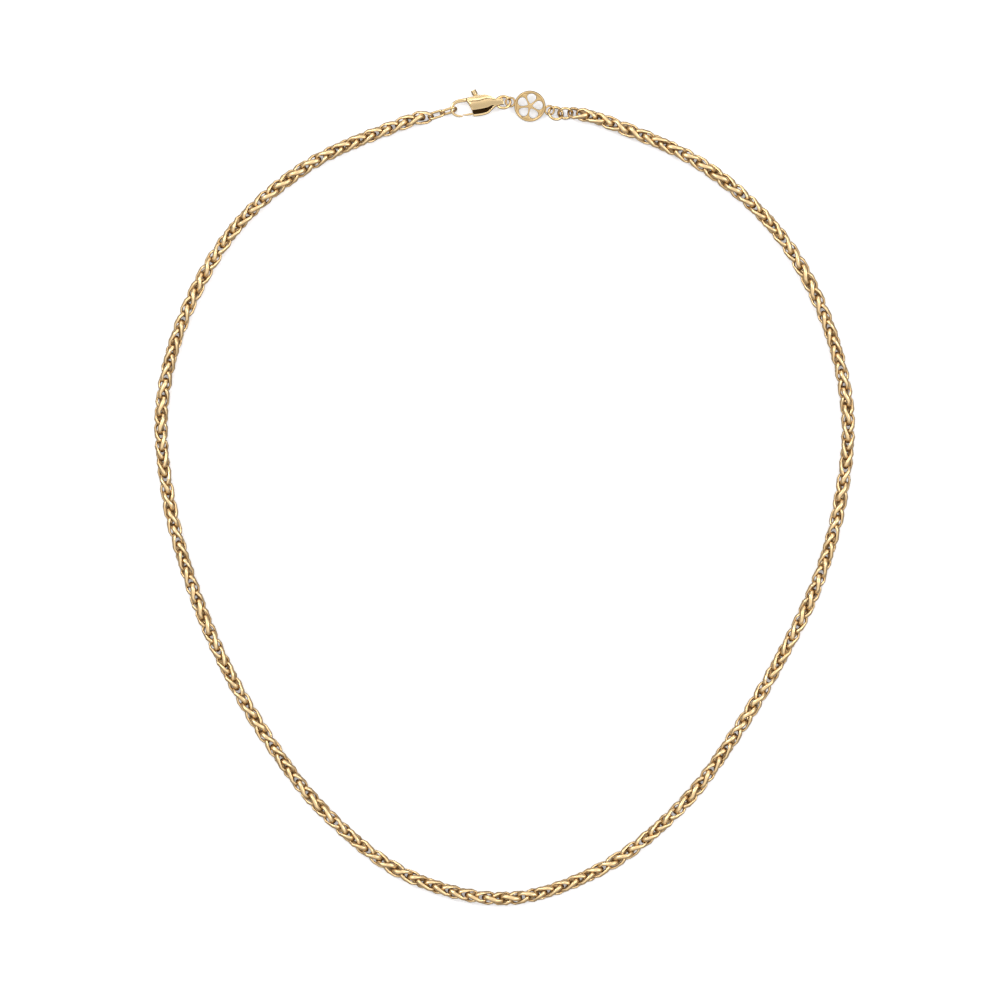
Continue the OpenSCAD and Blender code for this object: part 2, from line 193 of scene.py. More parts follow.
@dataclass(frozen=True)
class GoldFinish:
    """Yellow gold with cloudy roughness, fine scratches and painted shade: a darker, browner colour deep
    between the links and wherever else a piece's mesh carries painted shade.

    Attributes:
        name: name of the finish, and of the slot of the pieces that wear it.
        colour: colour of the bare metal.
        deep: colour of the painted shade where it is deepest.
        polish: roughness where it is brightest and where it is dullest.
        cloud_mm: size of the clouds.
        cloud_span: values of the cloud noise at which the metal is brightest and dullest.
        cloud_warmth: green and blue of the clouds, as shares of the colour's own.
        scratch_mm: size of the scratches.
        scratch_depth: strength of the scratches.
    """

    name: str
    colour: tuple[float, float, float]
    deep: tuple[float, float, float]
    polish: Polish
    cloud_mm: float = 1.6
    cloud_span: tuple[float, float] = (0.3, 0.7)
    cloud_warmth: tuple[float, float] = (0.93, 0.82)
    scratch_mm: float = 0.12
    scratch_depth: float = 0.04

    def build(self) -> bpy.types.Material:
        """Makes the material's nodes.

        Returns:
            The finished material.
        """
        material = bpy.data.materials.new(self.name + "_finish")
        material.use_nodes = True
        tree = material.node_tree
        shader = tree.nodes["Principled BSDF"]
        shader.inputs["Metallic"].default_value = 1.0
        place = tree.nodes.new("ShaderNodeTexCoord").outputs["Object"]
        clouds = self.noise(tree, place, self.cloud_mm, detail=3.0)
        scratches = self.noise(tree, place, self.scratch_mm, detail=2.0)

        rough = tree.nodes.new("ShaderNodeMapRange")
        rough.inputs["From Min"].default_value, rough.inputs["From Max"].default_value = self.cloud_span
        rough.inputs["To Min"].default_value, rough.inputs["To Max"].default_value = self.polish.value
        tree.links.new(clouds, rough.inputs["Value"])
        tree.links.new(rough.outputs["Result"], shader.inputs["Roughness"])

        red, green, blue = self.colour
        warm = ColourMix(tree, clouds)
        warm.first.default_value = (red, green, blue, 1.0)
        warm.second.default_value = (red, green * self.cloud_warmth[0], blue * self.cloud_warmth[1], 1.0)
        # Painted shade: the attribute mixes the metal's colour towards the deep colour
        painted_shade = tree.nodes.new("ShaderNodeAttribute")
        painted_shade.attribute_name = "painted_shade"
        colour = ColourMix(tree, painted_shade.outputs["Fac"])
        tree.links.new(warm.result, colour.first)
        colour.second.default_value = (*self.deep, 1.0)
        tree.links.new(colour.result, shader.inputs["Base Color"])

        bump = tree.nodes.new("ShaderNodeBump")
        bump.inputs["Strength"].default_value = self.scratch_depth
        bump.inputs["Distance"].default_value = self.scratch_mm * MM
        tree.links.new(scratches, bump.inputs["Height"])
        tree.links.new(bump.outputs["Normal"], shader.inputs["Normal"])
        return material

    @staticmethod
    def noise(tree: bpy.types.NodeTree, place: bpy.types.NodeSocket, size_mm: float,
              detail: float) -> bpy.types.NodeSocket:
        """Adds noise whose cells are size_mm across and returns its output socket."""
        texture = tree.nodes.new("ShaderNodeTexNoise")
        texture.inputs["Scale"].default_value = 1.0 / (size_mm * MM)
        texture.inputs["Detail"].default_value = detail
        tree.links.new(place, texture.inputs["Vector"])
        return texture.outputs["Fac"]


class ColourMix:
    """A mix node in colour mode, with its colour sockets under plain names."""

    def __init__(self, tree: bpy.types.NodeTree, factor: bpy.types.NodeSocket) -> None:
        """Adds the node to the tree, mixed by the factor."""
        node = tree.nodes.new("ShaderNodeMix")
        node.data_type = "RGBA"
        self.first, self.second, self.result = node.inputs[6], node.inputs[7], node.outputs[2]
        tree.links.new(factor, node.inputs[0])


@lru_cache
def gold_material(finish: GoldFinish) -> bpy.types.Material:
    """The material of a finish, made once."""
    return finish.build()


# The second colour of each finish is its painted shade colour
WHEAT_GOLD = GoldFinish("wheat_gold", (0.98, 0.735, 0.42), (0.19, 0.08, 0.008), Polish.SATIN)
WIRE_GOLD = GoldFinish("wire_gold", (0.90, 0.67, 0.36), (0.30, 0.17, 0.06), Polish.SOFT)
CLASP_GOLD = GoldFinish("clasp_gold", (0.95, 0.73, 0.42), (0.05, 0.025, 0.008), Polish.BRIGHT)
TAG_GOLD = GoldFinish("tag_gold", (0.74, 0.54, 0.28), (0.30, 0.19, 0.08), Polish.SATIN)


class Shape:
    """Patches of faces that together make one piece, in millimetres.

    Attributes:
        side_shade: painted shade on a wire's sides and underside, where less light falls. Its top has none.
    """

    side_shade: float = 0.7

    def __init__(self) -> None:
        """Starts with no patch."""
        self.points: list[Array] = []
        self.faces: list[list[int]] = []
        self.tones: list[Array] = []
        self.count = 0

    def add(self, points: Array, faces: Array, tones: Array | None = None) -> None:
        """Adds one patch.

        Args:
            points: corner points, one to a row.
            faces: corner numbers of each face, one face to a row.
            tones: painted shade at each point, 0 to 1, or None for none.
        """
        self.points.append(points)
        self.faces.extend((faces + self.count).tolist())
        self.tones.append(np.zeros(len(points)) if tones is None else tones)
        self.count += len(points)

    def grid(self, points: Array, wrap_rows: bool = False, wrap_cols: bool = False,
             tones: Array | None = None) -> None:
        """Adds a grid of quads; rows cross columns points outwards.

        Args:
            points: array of rows by columns by three.
            wrap_rows: joins the last row to the first.
            wrap_cols: joins the last column to the first.
            tones: painted shade at each point, rows by columns, or None.
        """
        rows, cols = points.shape[:2]
        number = np.arange(rows * cols).reshape(rows, cols)
        if wrap_rows:
            number = np.concatenate([number, number[:1]], axis=0)
        if wrap_cols:
            number = np.concatenate([number, number[:, :1]], axis=1)
        quads = np.stack([number[:-1, :-1], number[1:, :-1], number[1:, 1:], number[:-1, 1:]], axis=-1)
        self.add(points.reshape(-1, 3), quads.reshape(-1, 4), None if tones is None else tones.ravel())

    def tube(self, path: Array, across: Array, radius: float | Array, sides: int) -> None:
        """Adds a closed loop of round wire: a circle carried along the path, square to it.

        Args:
            path: points of the wire's middle line, the last joined to the first.
            across: direction square to the path at each point, such as the normal of a flat ring.
            radius: radius of the wire, one value or one for each point.
            sides: number of points round the wire.
        """
        points, offset = wire_surface(path, across, radius, sides)
        # Painted shade: darker where the wire's surface faces sideways or down, none on its top
        rise = offset[..., 2] / np.linalg.norm(offset, axis=-1)
        tones = np.clip(self.side_shade - rise, 0, self.side_shade)
        self.grid(points, wrap_rows=True, wrap_cols=True, tones=tones)

    def mesh(self, name: str, weld_mm: float = 0.0) -> bpy.types.Mesh:
        """Makes the Blender mesh, in metres and smooth, with its painted shade attribute.

        Args:
            name: name of the mesh.
            weld_mm: how near points have to lie to be joined, with the faces turned outwards after it, or 0
                to leave them as they are.

        Returns:
            The mesh.
        """
        mesh = bpy.data.meshes.new(name)
        mesh.from_pydata((np.concatenate(self.points) * MM).tolist(), [], self.faces)
        mark_painted_shade(mesh, np.concatenate(self.tones))
        if weld_mm:
            weld(mesh, weld_mm, outwards=True)
        mesh.polygons.foreach_set("use_smooth", np.ones(len(mesh.polygons), dtype=bool))
        mesh.update()
        return mesh


def wire_surface(path: Array, across: Array, radius: float | Array, sides: int,
                 breadth: float | Array = 1.0) -> tuple[Array, Array]:
    """Surface of round or flattened wire round closed paths.

    With t along the path and b the part of across that is square to t, a point is
    path + radius * (cos(a) * (t x b) + breadth * sin(a) * b) for a round the wire.

    Args:
        path: middle lines, points on the last axis but one.
        across: direction square to each path, or nearly so.
        radius: radius of the wire.
        sides: number of points round the wire.
        breadth: width of flattened wire along b over its thickness.

    Returns:
        The surface points, with an axis for the sides added, and the offsets from the path.
    """
    along = unit(np.roll(path, -1, axis=-2) - np.roll(path, 1, axis=-2))
    across = np.broadcast_to(across, path.shape)
    rise = unit(across - np.sum(across * along, axis=-1, keepdims=True) * along)
    out = np.cross(along, rise)
    turn = 2 * np.pi * (np.arange(sides) + 0.5) / sides
    size = np.broadcast_to(radius, path.shape[:-1])[..., None, None]
    flat = np.broadcast_to(breadth, path.shape[:-1])[..., None, None]
    offset = size * (np.cos(turn)[:, None] * out[..., None, :]
                     + flat * np.sin(turn)[:, None] * rise[..., None, :])
    return path[..., None, :] + offset, offset


@dataclass
class Piece:
    """One finished piece of the necklace: its mesh, its finish, its body and the nodes that it stands for."""

    name: str
    mesh: bpy.types.Mesh
    finish: GoldFinish
    body: str
    nodes: tuple[str, ...]

    def place(self) -> None:
        """Makes the object, gives it its finish and ties it to the frame."""
        piece = add_object(self.name, self.mesh)
        self.mesh.materials.clear()
        self.mesh.materials.append(gold_material(self.finish))
        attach(piece, self.body)
        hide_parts(*self.nodes)
        LOG.info("%s: %d faces, for %s", self.name, len(self.mesh.polygons), ", ".join(self.nodes))


@dataclass
class Run:
    """Smooth middle line of the chain, measured along its arc.

    Attributes:
        knots: points that the line goes through, with one more before the first and one after the last.
        per_span: number of points of the line from one knot to the next.
        probe: how far before and behind a place its direction is measured, in millimetres.
        line: points of the line.
        arc: arc at each of them.
    """

    knots: Array
    per_span: int = 24
    probe: float = 0.5
    line: Array = field(init=False)
    arc: Array = field(init=False)

    def __post_init__(self) -> None:
        """Works out the line: a Catmull-Rom curve through the knots, which its two outer knots only steer."""
        a, b, c, d = (self.knots[i: len(self.knots) - 3 + i, None] for i in range(4))
        t = (np.arange(self.per_span) / self.per_span)[None, :, None]
        spans = 0.5 * (2 * b + t * (c - a) + t ** 2 * (2 * a - 5 * b + 4 * c - d)
                       + t ** 3 * (3 * b - a - 3 * c + d))
        self.line = np.concatenate([spans.reshape(-1, 3), self.knots[-2:-1]])
        steps = np.linalg.norm(np.diff(self.line, axis=0), axis=1)
        self.arc = np.concatenate([[0.0], np.cumsum(steps)])

    @property
    def length(self) -> float:
        """Length of the line."""
        return float(self.arc[-1])

    def at(self, arc: Array) -> Array:
        """Points of the line at the given arcs, straight on past either end."""
        inside = np.stack([np.interp(arc, self.arc, self.line[:, i]) for i in range(3)], axis=-1)
        past = arc - np.clip(arc, 0.0, self.length)
        first = unit(self.line[1] - self.line[0])
        last = unit(self.line[-1] - self.line[-2])
        return inside + np.where(past[..., None] < 0, first, last) * past[..., None]

    def side(self, arc: Array) -> Array:
        """Unit vectors in plan, square to the line and to its left."""
        ahead = unit(self.at(arc + self.probe) - self.at(arc - self.probe))
        return np.stack([-ahead[..., 1], ahead[..., 0], np.zeros(arc.shape)], axis=-1)


# Route of the chain's middle line in plan: down the left side, round the bottom, up the right
# The strands meet at the route's knot with the number JOIN
ROUTE = np.array([
    [-21.5, 81.5], [-42, 72.5], [-58.5, 58.5], [-69.5, 39.5], [-74.5, 19.5], [-73, -0.5], [-68, -19],
    [-61, -36], [-51.5, -52.5], [-39, -68.5], [-21.5, -82], [0.5, -87.2], [21.5, -80.5], [38.5, -67],
    [50.5, -51], [60, -35], [68, -18.5], [73, -0.5], [74.5, 19], [69.5, 39.5], [59, 58], [42.5, 72.5],
    [22.5, 81.5],
])
JOIN = 11


@dataclass
class WheatChain:
    """Wheat links: long loops of wire twisted a quarter turn, alternately to the right and to the left.

    Attributes:
        run_z: height of the run's middle line.
        wire: thickness of the flattened wire.
        breadth: width of the wire over its thickness.
        end_breadth: the same in the outermost bends.
        outer: width of a link over its wire.
        half_len: half the length of a link's middle line.
        squareness: power n of the link's outline, 2 for an ellipse and more for squarer ends.
        twist: turn of a link's plane from its middle to either end.
        pitch: distance from link to link, before it is evened out over the run.
        last_head: how far the outermost bends reach past the run's ends.
        steps: number of points along a link's wire.
        sides: number of points round it.
        shade_full_to: distance from the run's middle line up to which the painted shade is at its darkest.
        shade_blend: how far from there the painted shade takes to fade out.
        rolls: arc from the join, and how far the chain is turned about its own line there.
    """

    run_z: float = 1.56
    wire: float = 0.64
    breadth: float = 1.64
    end_breadth: float = 1.05
    outer: float = 3.22
    half_len: float = 2.25
    squareness: float = 3.2
    twist: float = 45.0
    pitch: float = 1.8825
    last_head: float = 1.3
    steps: int = 14
    sides: int = 6
    shade_full_to: float = 0.45
    shade_blend: float = 0.75
    rolls: tuple[tuple[float, float], ...] = (
        (-230, 879), (-215, 850), (-141, 630), (-110, 495), (-70, 360), (-26, 180), (-18, 125), (-5, 112),
        (10, 30), (18, 35), (26, 90), (70, 270), (110, 405), (141, 540), (214, 760), (230, 862))

    def links(self, run: Run, join: float) -> tuple[Shape, Shape]:
        """Builds the links from end to end, and parts them where the two strands meet.

        A link's middle line is u = L sgn(cos t)|cos t|^(2/n) along the chain and v = h sin(t) across it,
        and its plane turns by the twist times u/L, on top of the chain's own roll. The wire is flattened,
        but nearly round in the outermost bends, where an end link or a jump ring passes through.

        Args:
            run: middle line of the whole chain, from the left strand's end to the right strand's.
            join: arc at which the strands meet; the table of rolls counts from it.

        Returns:
            The links of the left strand and those of the right one.
        """
        first = self.half_len - self.last_head
        last = run.length - first
        count = int(round((last - first) / self.pitch)) + 1
        centre = np.linspace(first, last, count)[:, None]
        odd = (np.arange(count) % 2)[:, None]
        t = 2 * np.pi * np.arange(self.steps) / self.steps
        u = self.half_len * signed_power(np.cos(t), 2 / self.squareness)
        v = (self.outer - self.wire) / 2 * np.sin(t)
        arc = centre + u
        knots = np.array(self.rolls)
        roll = np.interp(arc - join, knots[:, 0], knots[:, 1])
        angle = np.radians(90 * odd + (1 - 2 * odd) * self.twist * u / self.half_len + roll)
        left = run.side(arc)
        cos, sin = np.cos(angle)[..., None], np.sin(angle)[..., None]
        path = run.at(arc) + v[:, None] * (cos * left + sin * UP)
        inside = np.minimum(arc, run.length - arc)
        breadth = np.interp(inside, (-self.last_head, self.wire), (self.end_breadth, self.breadth))
        surface, _ = wire_surface(path, cos * UP - sin * left, self.wire / 2, self.sides, breadth)
        # Painted shade: full near the chain's middle line, between the links, fading out towards its outside
        from_middle = surface - run.at(arc)[:, :, None, :]
        radial = np.hypot(np.sum(from_middle * left[:, :, None, :], axis=-1), from_middle[..., 2])
        tones = 1 - ramp(radial - self.shade_full_to, self.shade_blend)
        LOG.info("wheat links: %d at %.4f mm", count, (last - first) / (count - 1))
        nearer_left = centre[:, 0] < join
        return tuple(self.strand(surface[chosen], tones[chosen]) for chosen in (nearer_left, ~nearer_left))

    @staticmethod
    def strand(surface: Array, tones: Array) -> Shape:
        """Faces over the points of some links, given as links by steps by sides."""
        number = np.arange(tones.size).reshape(tones.shape)
        near, far = number, np.roll(number, -1, axis=1)
        quads = np.stack([near, far, np.roll(far, -1, axis=2), np.roll(near, -1, axis=2)], axis=-1)
        shape = Shape()
        shape.add(surface.reshape(-1, 3), quads.reshape(-1, 4), tones.ravel())
        return shape


@dataclass
class Fittings:
    """Sizes, headings and leans of the fittings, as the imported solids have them.

    The two end links are turned from each other by link_turn, and link_slack is the play between a link or
    ring and the chain's end.
    """

    ring_od: float = 3.6
    ring_wire: float = 0.6
    ring_lean: float = 28.0
    ring_lean_end: float = 48.0
    link_len: float = 4.0
    link_w: float = 2.4
    link_wire: float = 0.55
    link_lean: float = 66.0
    link_turn: float = 112.0
    link_slack: float = 0.15
    clasp_ring_heading: float = 2.0
    tag_ring_heading: float = -26.0
    chain_ring_heading: float = 0.0
    end_link_heading: float = 17.0
    tag_heading: float = -12.0
    tag_lean: float = 15.0
    clasp_heading: float = 10.0
    ring_points: int = 56
    ring_sides: int = 18
    bend_points: int = 15
    straight_points: int = 3
    link_sides: int = 16

    def chain_ends(self, run_z: float) -> tuple[Array, Array]:
        """Left and right end of the chain's solid run, worked out from the end link and the jump ring."""
        link_reach = self.link_len / 2 + self.link_slack
        ring_reach = self.ring_od / 2 + self.link_slack
        left = node_middle("end_link_1") - link_reach * heading_step(self.end_link_heading)
        right = node_middle("chain_ring") + ring_reach * heading_step(self.chain_ring_heading)
        left[2] = right[2] = run_z
        return left, right

    def jump_ring(self, node: str, heading: float, lean: float) -> Shape:
        """Round ring of round wire."""
        circle = flat_circle((self.ring_od - self.ring_wire) / 2, self.ring_points)
        seat = Seat(node_middle(node), heading, lean)
        shape = Shape()
        shape.tube(seat.put(circle), seat.normal, self.ring_wire / 2, self.ring_sides)
        return shape

    def end_link(self, node: str, lean: float) -> Shape:
        """Long link of round wire: two half circles and the straights between them."""
        radius = (self.link_w - self.link_wire) / 2
        straight = (self.link_len - self.link_wire) / 2 - radius
        turn = np.radians(np.linspace(-90, 90, self.bend_points))
        bend = np.stack([radius * np.cos(turn) + straight, radius * np.sin(turn), 0 * turn], axis=-1)
        middle = np.linspace(straight, -straight, self.straight_points + 2)[1:-1]
        top = np.stack([middle, np.full_like(middle, radius), np.zeros_like(middle)], axis=-1)
        path = np.concatenate([bend, top, -bend, -top])
        seat = Seat(node_middle(node), self.end_link_heading, lean)
        shape = Shape()
        shape.tube(seat.put(path), seat.normal, self.link_wire / 2, self.link_sides)
        return shape


@dataclass
class Tag:
    """Round pierced disc: a rolled rim, five petal windows in a thin field, and a lug at each side.

    Attributes:
        petal_in: radius at which a window starts, as a share of the field's.
        petal_out: the same for the window's outer end.
        petal_fill: width of a window as a share of its sector.
        petal_power: power of the window's outline, 2 for an ellipse.
        weld_mm: how near points of two patches have to lie to be joined.
        lug_seat: how far a lug's wire is sunk in the rim.
        rim_power: power of the rim's section, 1 for an ellipse and less for squarer.
        rim_shade: painted shade at half the rim's thickness, on its sides, and how much less it is at its
            faces.
        field_shade: the same for the field, on its windows' walls.
        steps: number of points from end to end of a window.
        rib_steps: how many of them lie on the sector's straight border.
        profile: share of the way from the window to the border, and height over half the field's thickness,
            from the underside up the window's wall to the top.
    """

    diameter: float = 6.8
    rim_t: float = 0.9
    rim_w: float = 0.5
    field_t: float = 0.6
    petals: int = 5
    petal_in: float = 0.2
    petal_out: float = 0.97
    petal_fill: float = 0.8
    petal_power: float = 2.5
    weld_mm: float = 1e-3
    lug_od: float = 2.4
    lug_wire: float = 0.45
    lug_seat: float = 0.25
    rim_power: float = 0.6
    rim_shade: tuple[float, float] = (1.7, 1.8)
    field_shade: tuple[float, float] = (1.9, 2.0)
    rim_points: int = 96
    rim_sides: int = 20
    lug_points: int = 48
    lug_sides: int = 14
    steps: int = 16
    rib_steps: int = 10
    profile: tuple[tuple[float, float], ...] = (
        (1, -1), (0.5, -1), (0.22, -0.94), (0.06, -0.75), (0, -0.4),
        (0, 0.4), (0.06, 0.75), (0.22, 0.94), (0.5, 1), (1, 1))

    def shape(self, seat: Seat) -> Shape:
        """Builds the disc and its lugs at a seat."""
        shape = Shape()
        self.rim(shape, seat)
        for petal in range(self.petals):
            self.sector(shape, seat, np.radians(90 + 360 * petal / self.petals))
        reach = self.diameter / 2 + self.lug_od / 2 - self.lug_seat
        circle = flat_circle((self.lug_od - self.lug_wire) / 2, self.lug_points)
        for side in (1, -1):
            lug = seat.put(circle + [side * reach, 0, 0])
            shape.tube(lug, seat.normal, self.lug_wire / 2, self.lug_sides)
        return shape

    def rim(self, shape: Shape, seat: Seat) -> None:
        """Turned rim: a rounded oblong |r|^n + |z|^n = 1 carried round the disc."""
        turn = 2 * np.pi * np.arange(self.rim_points)[:, None] / self.rim_points
        around = 2 * np.pi * np.arange(self.rim_sides)[None] / self.rim_sides
        swell = self.rim_w / 2 * signed_power(np.cos(around), self.rim_power)
        radius = self.diameter / 2 - self.rim_w / 2 + swell
        height = self.rim_t / 2 * signed_power(np.sin(around), self.rim_power) + 0 * turn
        # Painted shade: darkest on the rim's sides, lighter towards its faces
        deep, fall = self.rim_shade
        tones = np.clip(deep - fall * np.abs(height) / (self.rim_t / 2), 0, 1)
        points = np.stack([radius * np.cos(turn), radius * np.sin(turn), height], axis=-1)
        shape.grid(seat.put(points), wrap_rows=True, wrap_cols=True, tones=tones)

    def sector(self, shape: Shape, seat: Seat, heading: float) -> None:
        """One window with half of each rib beside it.

        Rows go round the window's edge and columns go from the sector's border under the field, through the
        window's wall, to the border on top; the border runs up one rib's middle, along the rim and back.
        """
        field_r = self.diameter / 2 - self.rim_w
        border_r = self.diameter / 2 - self.rim_w / 2
        half_turn = np.pi / self.petals
        steps, out = self.steps, self.rib_steps
        i = np.arange(steps + 1)
        share = (1 - np.cos(np.pi * i / steps)) / 2
        reach = field_r * (self.petal_in + share * (self.petal_out - self.petal_in))
        spread = self.petal_fill * half_turn * np.sqrt(1 - np.abs(2 * share - 1) ** self.petal_power)
        edge_r = border_r * np.minimum(i / out, 1)
        edge_turn = half_turn * np.where(i <= out, 1, (steps - i) / (steps - out))
        window = self.both_halves(reach, spread, heading)
        border = self.both_halves(edge_r, edge_turn, heading)
        rise = self.field_t / 2
        profile = np.array(self.profile)
        flat = window[:, None] + profile[None, :, :1] * (border - window)[:, None]
        height = np.broadcast_to(rise * profile[:, 1], flat.shape[:2])[..., None]
        # Painted shade: darkest on the windows' walls, lighter towards the field's faces
        deep, fall = self.field_shade
        tones = np.clip(deep - fall * np.abs(height[..., 0]) / rise, 0, 1)
        shape.grid(seat.put(np.concatenate([flat, height], axis=-1)), wrap_rows=True, tones=tones)
        arc = border[out:1 - out]
        sides = [np.concatenate([arc, np.full((len(arc), 1), z)], axis=-1) for z in (-rise, rise)]
        shape.grid(seat.put(np.stack(sides, axis=1)))

    @staticmethod
    def both_halves(radius: Array, turn: Array, heading: float) -> Array:
        """Closed outline in plan from the radii and turns of its one half, mirrored for the other."""
        return in_plan(np.concatenate([radius, radius[-2:0:-1]]),
                       np.concatenate([turn, -turn[-2:0:-1]]) + heading)


@dataclass
class Clasp:
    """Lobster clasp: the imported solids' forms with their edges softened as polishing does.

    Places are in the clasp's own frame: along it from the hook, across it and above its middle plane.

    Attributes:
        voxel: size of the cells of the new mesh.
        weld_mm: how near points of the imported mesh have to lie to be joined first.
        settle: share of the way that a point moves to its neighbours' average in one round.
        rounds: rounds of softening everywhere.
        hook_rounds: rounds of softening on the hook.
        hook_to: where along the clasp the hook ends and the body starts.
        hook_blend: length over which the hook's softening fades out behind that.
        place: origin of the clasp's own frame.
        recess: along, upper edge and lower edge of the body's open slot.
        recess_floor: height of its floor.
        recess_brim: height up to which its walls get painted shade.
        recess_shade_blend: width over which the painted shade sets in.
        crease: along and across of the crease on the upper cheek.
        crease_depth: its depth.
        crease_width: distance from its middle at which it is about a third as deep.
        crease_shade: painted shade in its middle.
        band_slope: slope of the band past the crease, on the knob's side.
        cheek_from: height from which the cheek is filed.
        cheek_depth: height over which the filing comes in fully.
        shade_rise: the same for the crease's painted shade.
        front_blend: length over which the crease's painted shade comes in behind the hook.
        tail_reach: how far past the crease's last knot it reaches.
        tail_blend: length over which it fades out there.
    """

    voxel: float = 0.05
    weld_mm: float = 1e-4
    settle: float = 0.5
    rounds: int = 6
    hook_rounds: int = 90
    hook_to: float = 1.9
    hook_blend: float = 0.4
    place: tuple[float, float, float] = (-9.44, 84.44, 1.2)
    recess_floor: float = -0.5
    recess_brim: float = 1.05
    recess_shade_blend: float = 0.08
    recess: tuple[tuple[float, float, float], ...] = (
        (2.3, -0.7, -1.75), (4.0, -0.7, -1.78), (5.4, -0.58, -1.72), (6.9, -0.35, -1.08), (8.0, -0.2, -0.5))
    crease: tuple[tuple[float, float], ...] = ((2.0, 1.15), (3.9, 0.96), (5.8, 1.15), (7.9, 0.45))
    crease_depth: float = 0.07
    crease_width: float = 0.13
    crease_shade: float = 0.85
    band_slope: float = 0.16
    cheek_from: float = 0.35
    cheek_depth: float = 0.8
    shade_rise: float = 0.2
    front_blend: float = 0.3
    tail_reach: float = 0.2
    tail_blend: float = 0.6

    def polished(self, node: str, heading: float) -> bpy.types.Mesh:
        """Copy of a node's mesh, welded, remeshed in even cells and smoothed.

        Args:
            node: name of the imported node.
            heading: heading of the clasp in plan, in degrees.

        Returns:
            The new mesh.
        """
        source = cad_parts[node].data
        mesh = bpy.data.meshes.new(node)
        mesh.from_pydata((mesh_points(source) * MM).tolist(), [], [list(p.vertices) for p in source.polygons])
        weld(mesh, self.weld_mm)
        maker = add_object(node + "_maker", mesh)
        cells = maker.modifiers.new("cells", "REMESH")
        cells.mode = "VOXEL"
        cells.voxel_size = self.voxel * MM
        cells.use_smooth_shade = True
        graph = bpy.context.evaluated_depsgraph_get()
        finished = bpy.data.meshes.new_from_object(maker.evaluated_get(graph))
        finished.name = node
        bpy.data.objects.remove(maker)
        bpy.data.meshes.remove(mesh)
        seat = Seat(np.array(self.place), heading)
        self.soften(finished, seat)
        if node == "clasp_body":
            self.file_cheek(finished, seat)
        self.shade(finished, seat)
        return finished

    def past_crease(self, along: Array, across: Array) -> tuple[Array, Array]:
        """How far each point lies past the crease, and how much of the crease is left there, 0 to 1."""
        knots = np.array(self.crease)
        past = across - np.interp(along, knots[:, 0], knots[:, 1])
        return past, ramp(knots[-1, 0] + self.tail_reach - along, self.tail_blend)

    def file_cheek(self, mesh: bpy.types.Mesh, seat: Seat) -> None:
        """Files a crease along the upper cheek and a sloped band past it, on the knob's side.

        The height drops by depth * exp(-(past/width)^2) in the crease and by slope * past beyond it, less and
        less towards the middle of the body.
        """
        points = mesh_points(mesh)
        along, across, height = seat.take(points).T
        past, fade = self.past_crease(along, across)
        groove = self.crease_depth * np.exp(-(past / self.crease_width) ** 2)
        band = self.band_slope * np.clip(past, 0, None)
        points[:, 2] -= ramp(height - self.cheek_from, self.cheek_depth) * fade * (groove + band)
        move_points(mesh, points)

    def soften(self, mesh: bpy.types.Mesh, seat: Seat) -> None:
        """Moves points towards their neighbours' average: a few rounds everywhere, many on the hook."""
        points = mesh_points(mesh)
        ends = np.empty(len(mesh.edges) * 2, dtype=np.int64)
        mesh.edges.foreach_get("vertices", ends)
        ends = ends.reshape(-1, 2)
        neighbours = np.bincount(ends.ravel(), minlength=len(points))[:, None]
        along = seat.take(points)[:, 0]
        hook = self.settle * ramp(self.hook_to + self.hook_blend - along, self.hook_blend)[:, None]
        for turn in range(self.hook_rounds):
            total = np.stack([
                np.bincount(ends[:, 0], points[ends[:, 1], i], len(points))
                + np.bincount(ends[:, 1], points[ends[:, 0], i], len(points)) for i in range(3)], axis=-1)
            points += (self.settle if turn < self.rounds else hook) * (total / neighbours - points)
        move_points(mesh, points)

    def shade(self, mesh: bpy.types.Mesh, seat: Seat) -> None:
        """Paints nearly black shade into the inside of the body's open slot, and a lighter painted shade
        along the crease.
        """
        along, across, height = seat.take(mesh_points(mesh)).T
        knots = np.array(self.recess)
        upper = np.interp(along, knots[:, 0], knots[:, 1])
        lower = np.interp(along, knots[:, 0], knots[:, 2])
        room = np.min([upper - across, across - lower, along - knots[0, 0], knots[-1, 0] - along,
                       self.recess_brim - height, height - self.recess_floor], axis=0)
        past, fade = self.past_crease(along, across)
        fade *= ramp(height - self.cheek_from, self.shade_rise) * ramp(along - self.hook_to, self.front_blend)
        line = self.crease_shade * fade * np.exp(-(past / self.crease_width) ** 2)
        # Painted shade: nearly black inside the slot, lighter along the crease
        mark_painted_shade(mesh, np.maximum(ramp(room, self.recess_shade_blend), line))


@dataclass(frozen=True)
class Lamp:
    """Rectangular soft lamp that faces the necklace's middle.

    Attributes:
        name: name of the lamp.
        place: where it hangs, in metres.
        size: its width and height, in metres.
        watts: its power.
    """

    name: str
    place: tuple[float, float, float]
    size: tuple[float, float]
    watts: float

    def hang(self) -> None:
        """Makes the lamp."""
        data = bpy.data.lights.new(self.name, "AREA")
        data.shape = "RECTANGLE"
        data.size, data.size_y = self.size
        data.energy = self.watts
        lamp = add_object(self.name, data)
        lamp.location = self.place
        lamp.rotation_mode = "QUATERNION"
        lamp.rotation_quaternion = Vector(-unit(np.array(self.place))).to_track_quat("-Z", "Y")


LAMPS = (
    Lamp("lamp_left", (-0.75, 0.55, 1.1), (0.28, 0.8), 5.0),
    Lamp("lamp_right", (0.85, 0.25, 1.1), (0.24, 0.8), 4.0),
    Lamp("lamp_back", (0.0, 1.3, 0.55), (1.2, 0.3), 3.0),
)


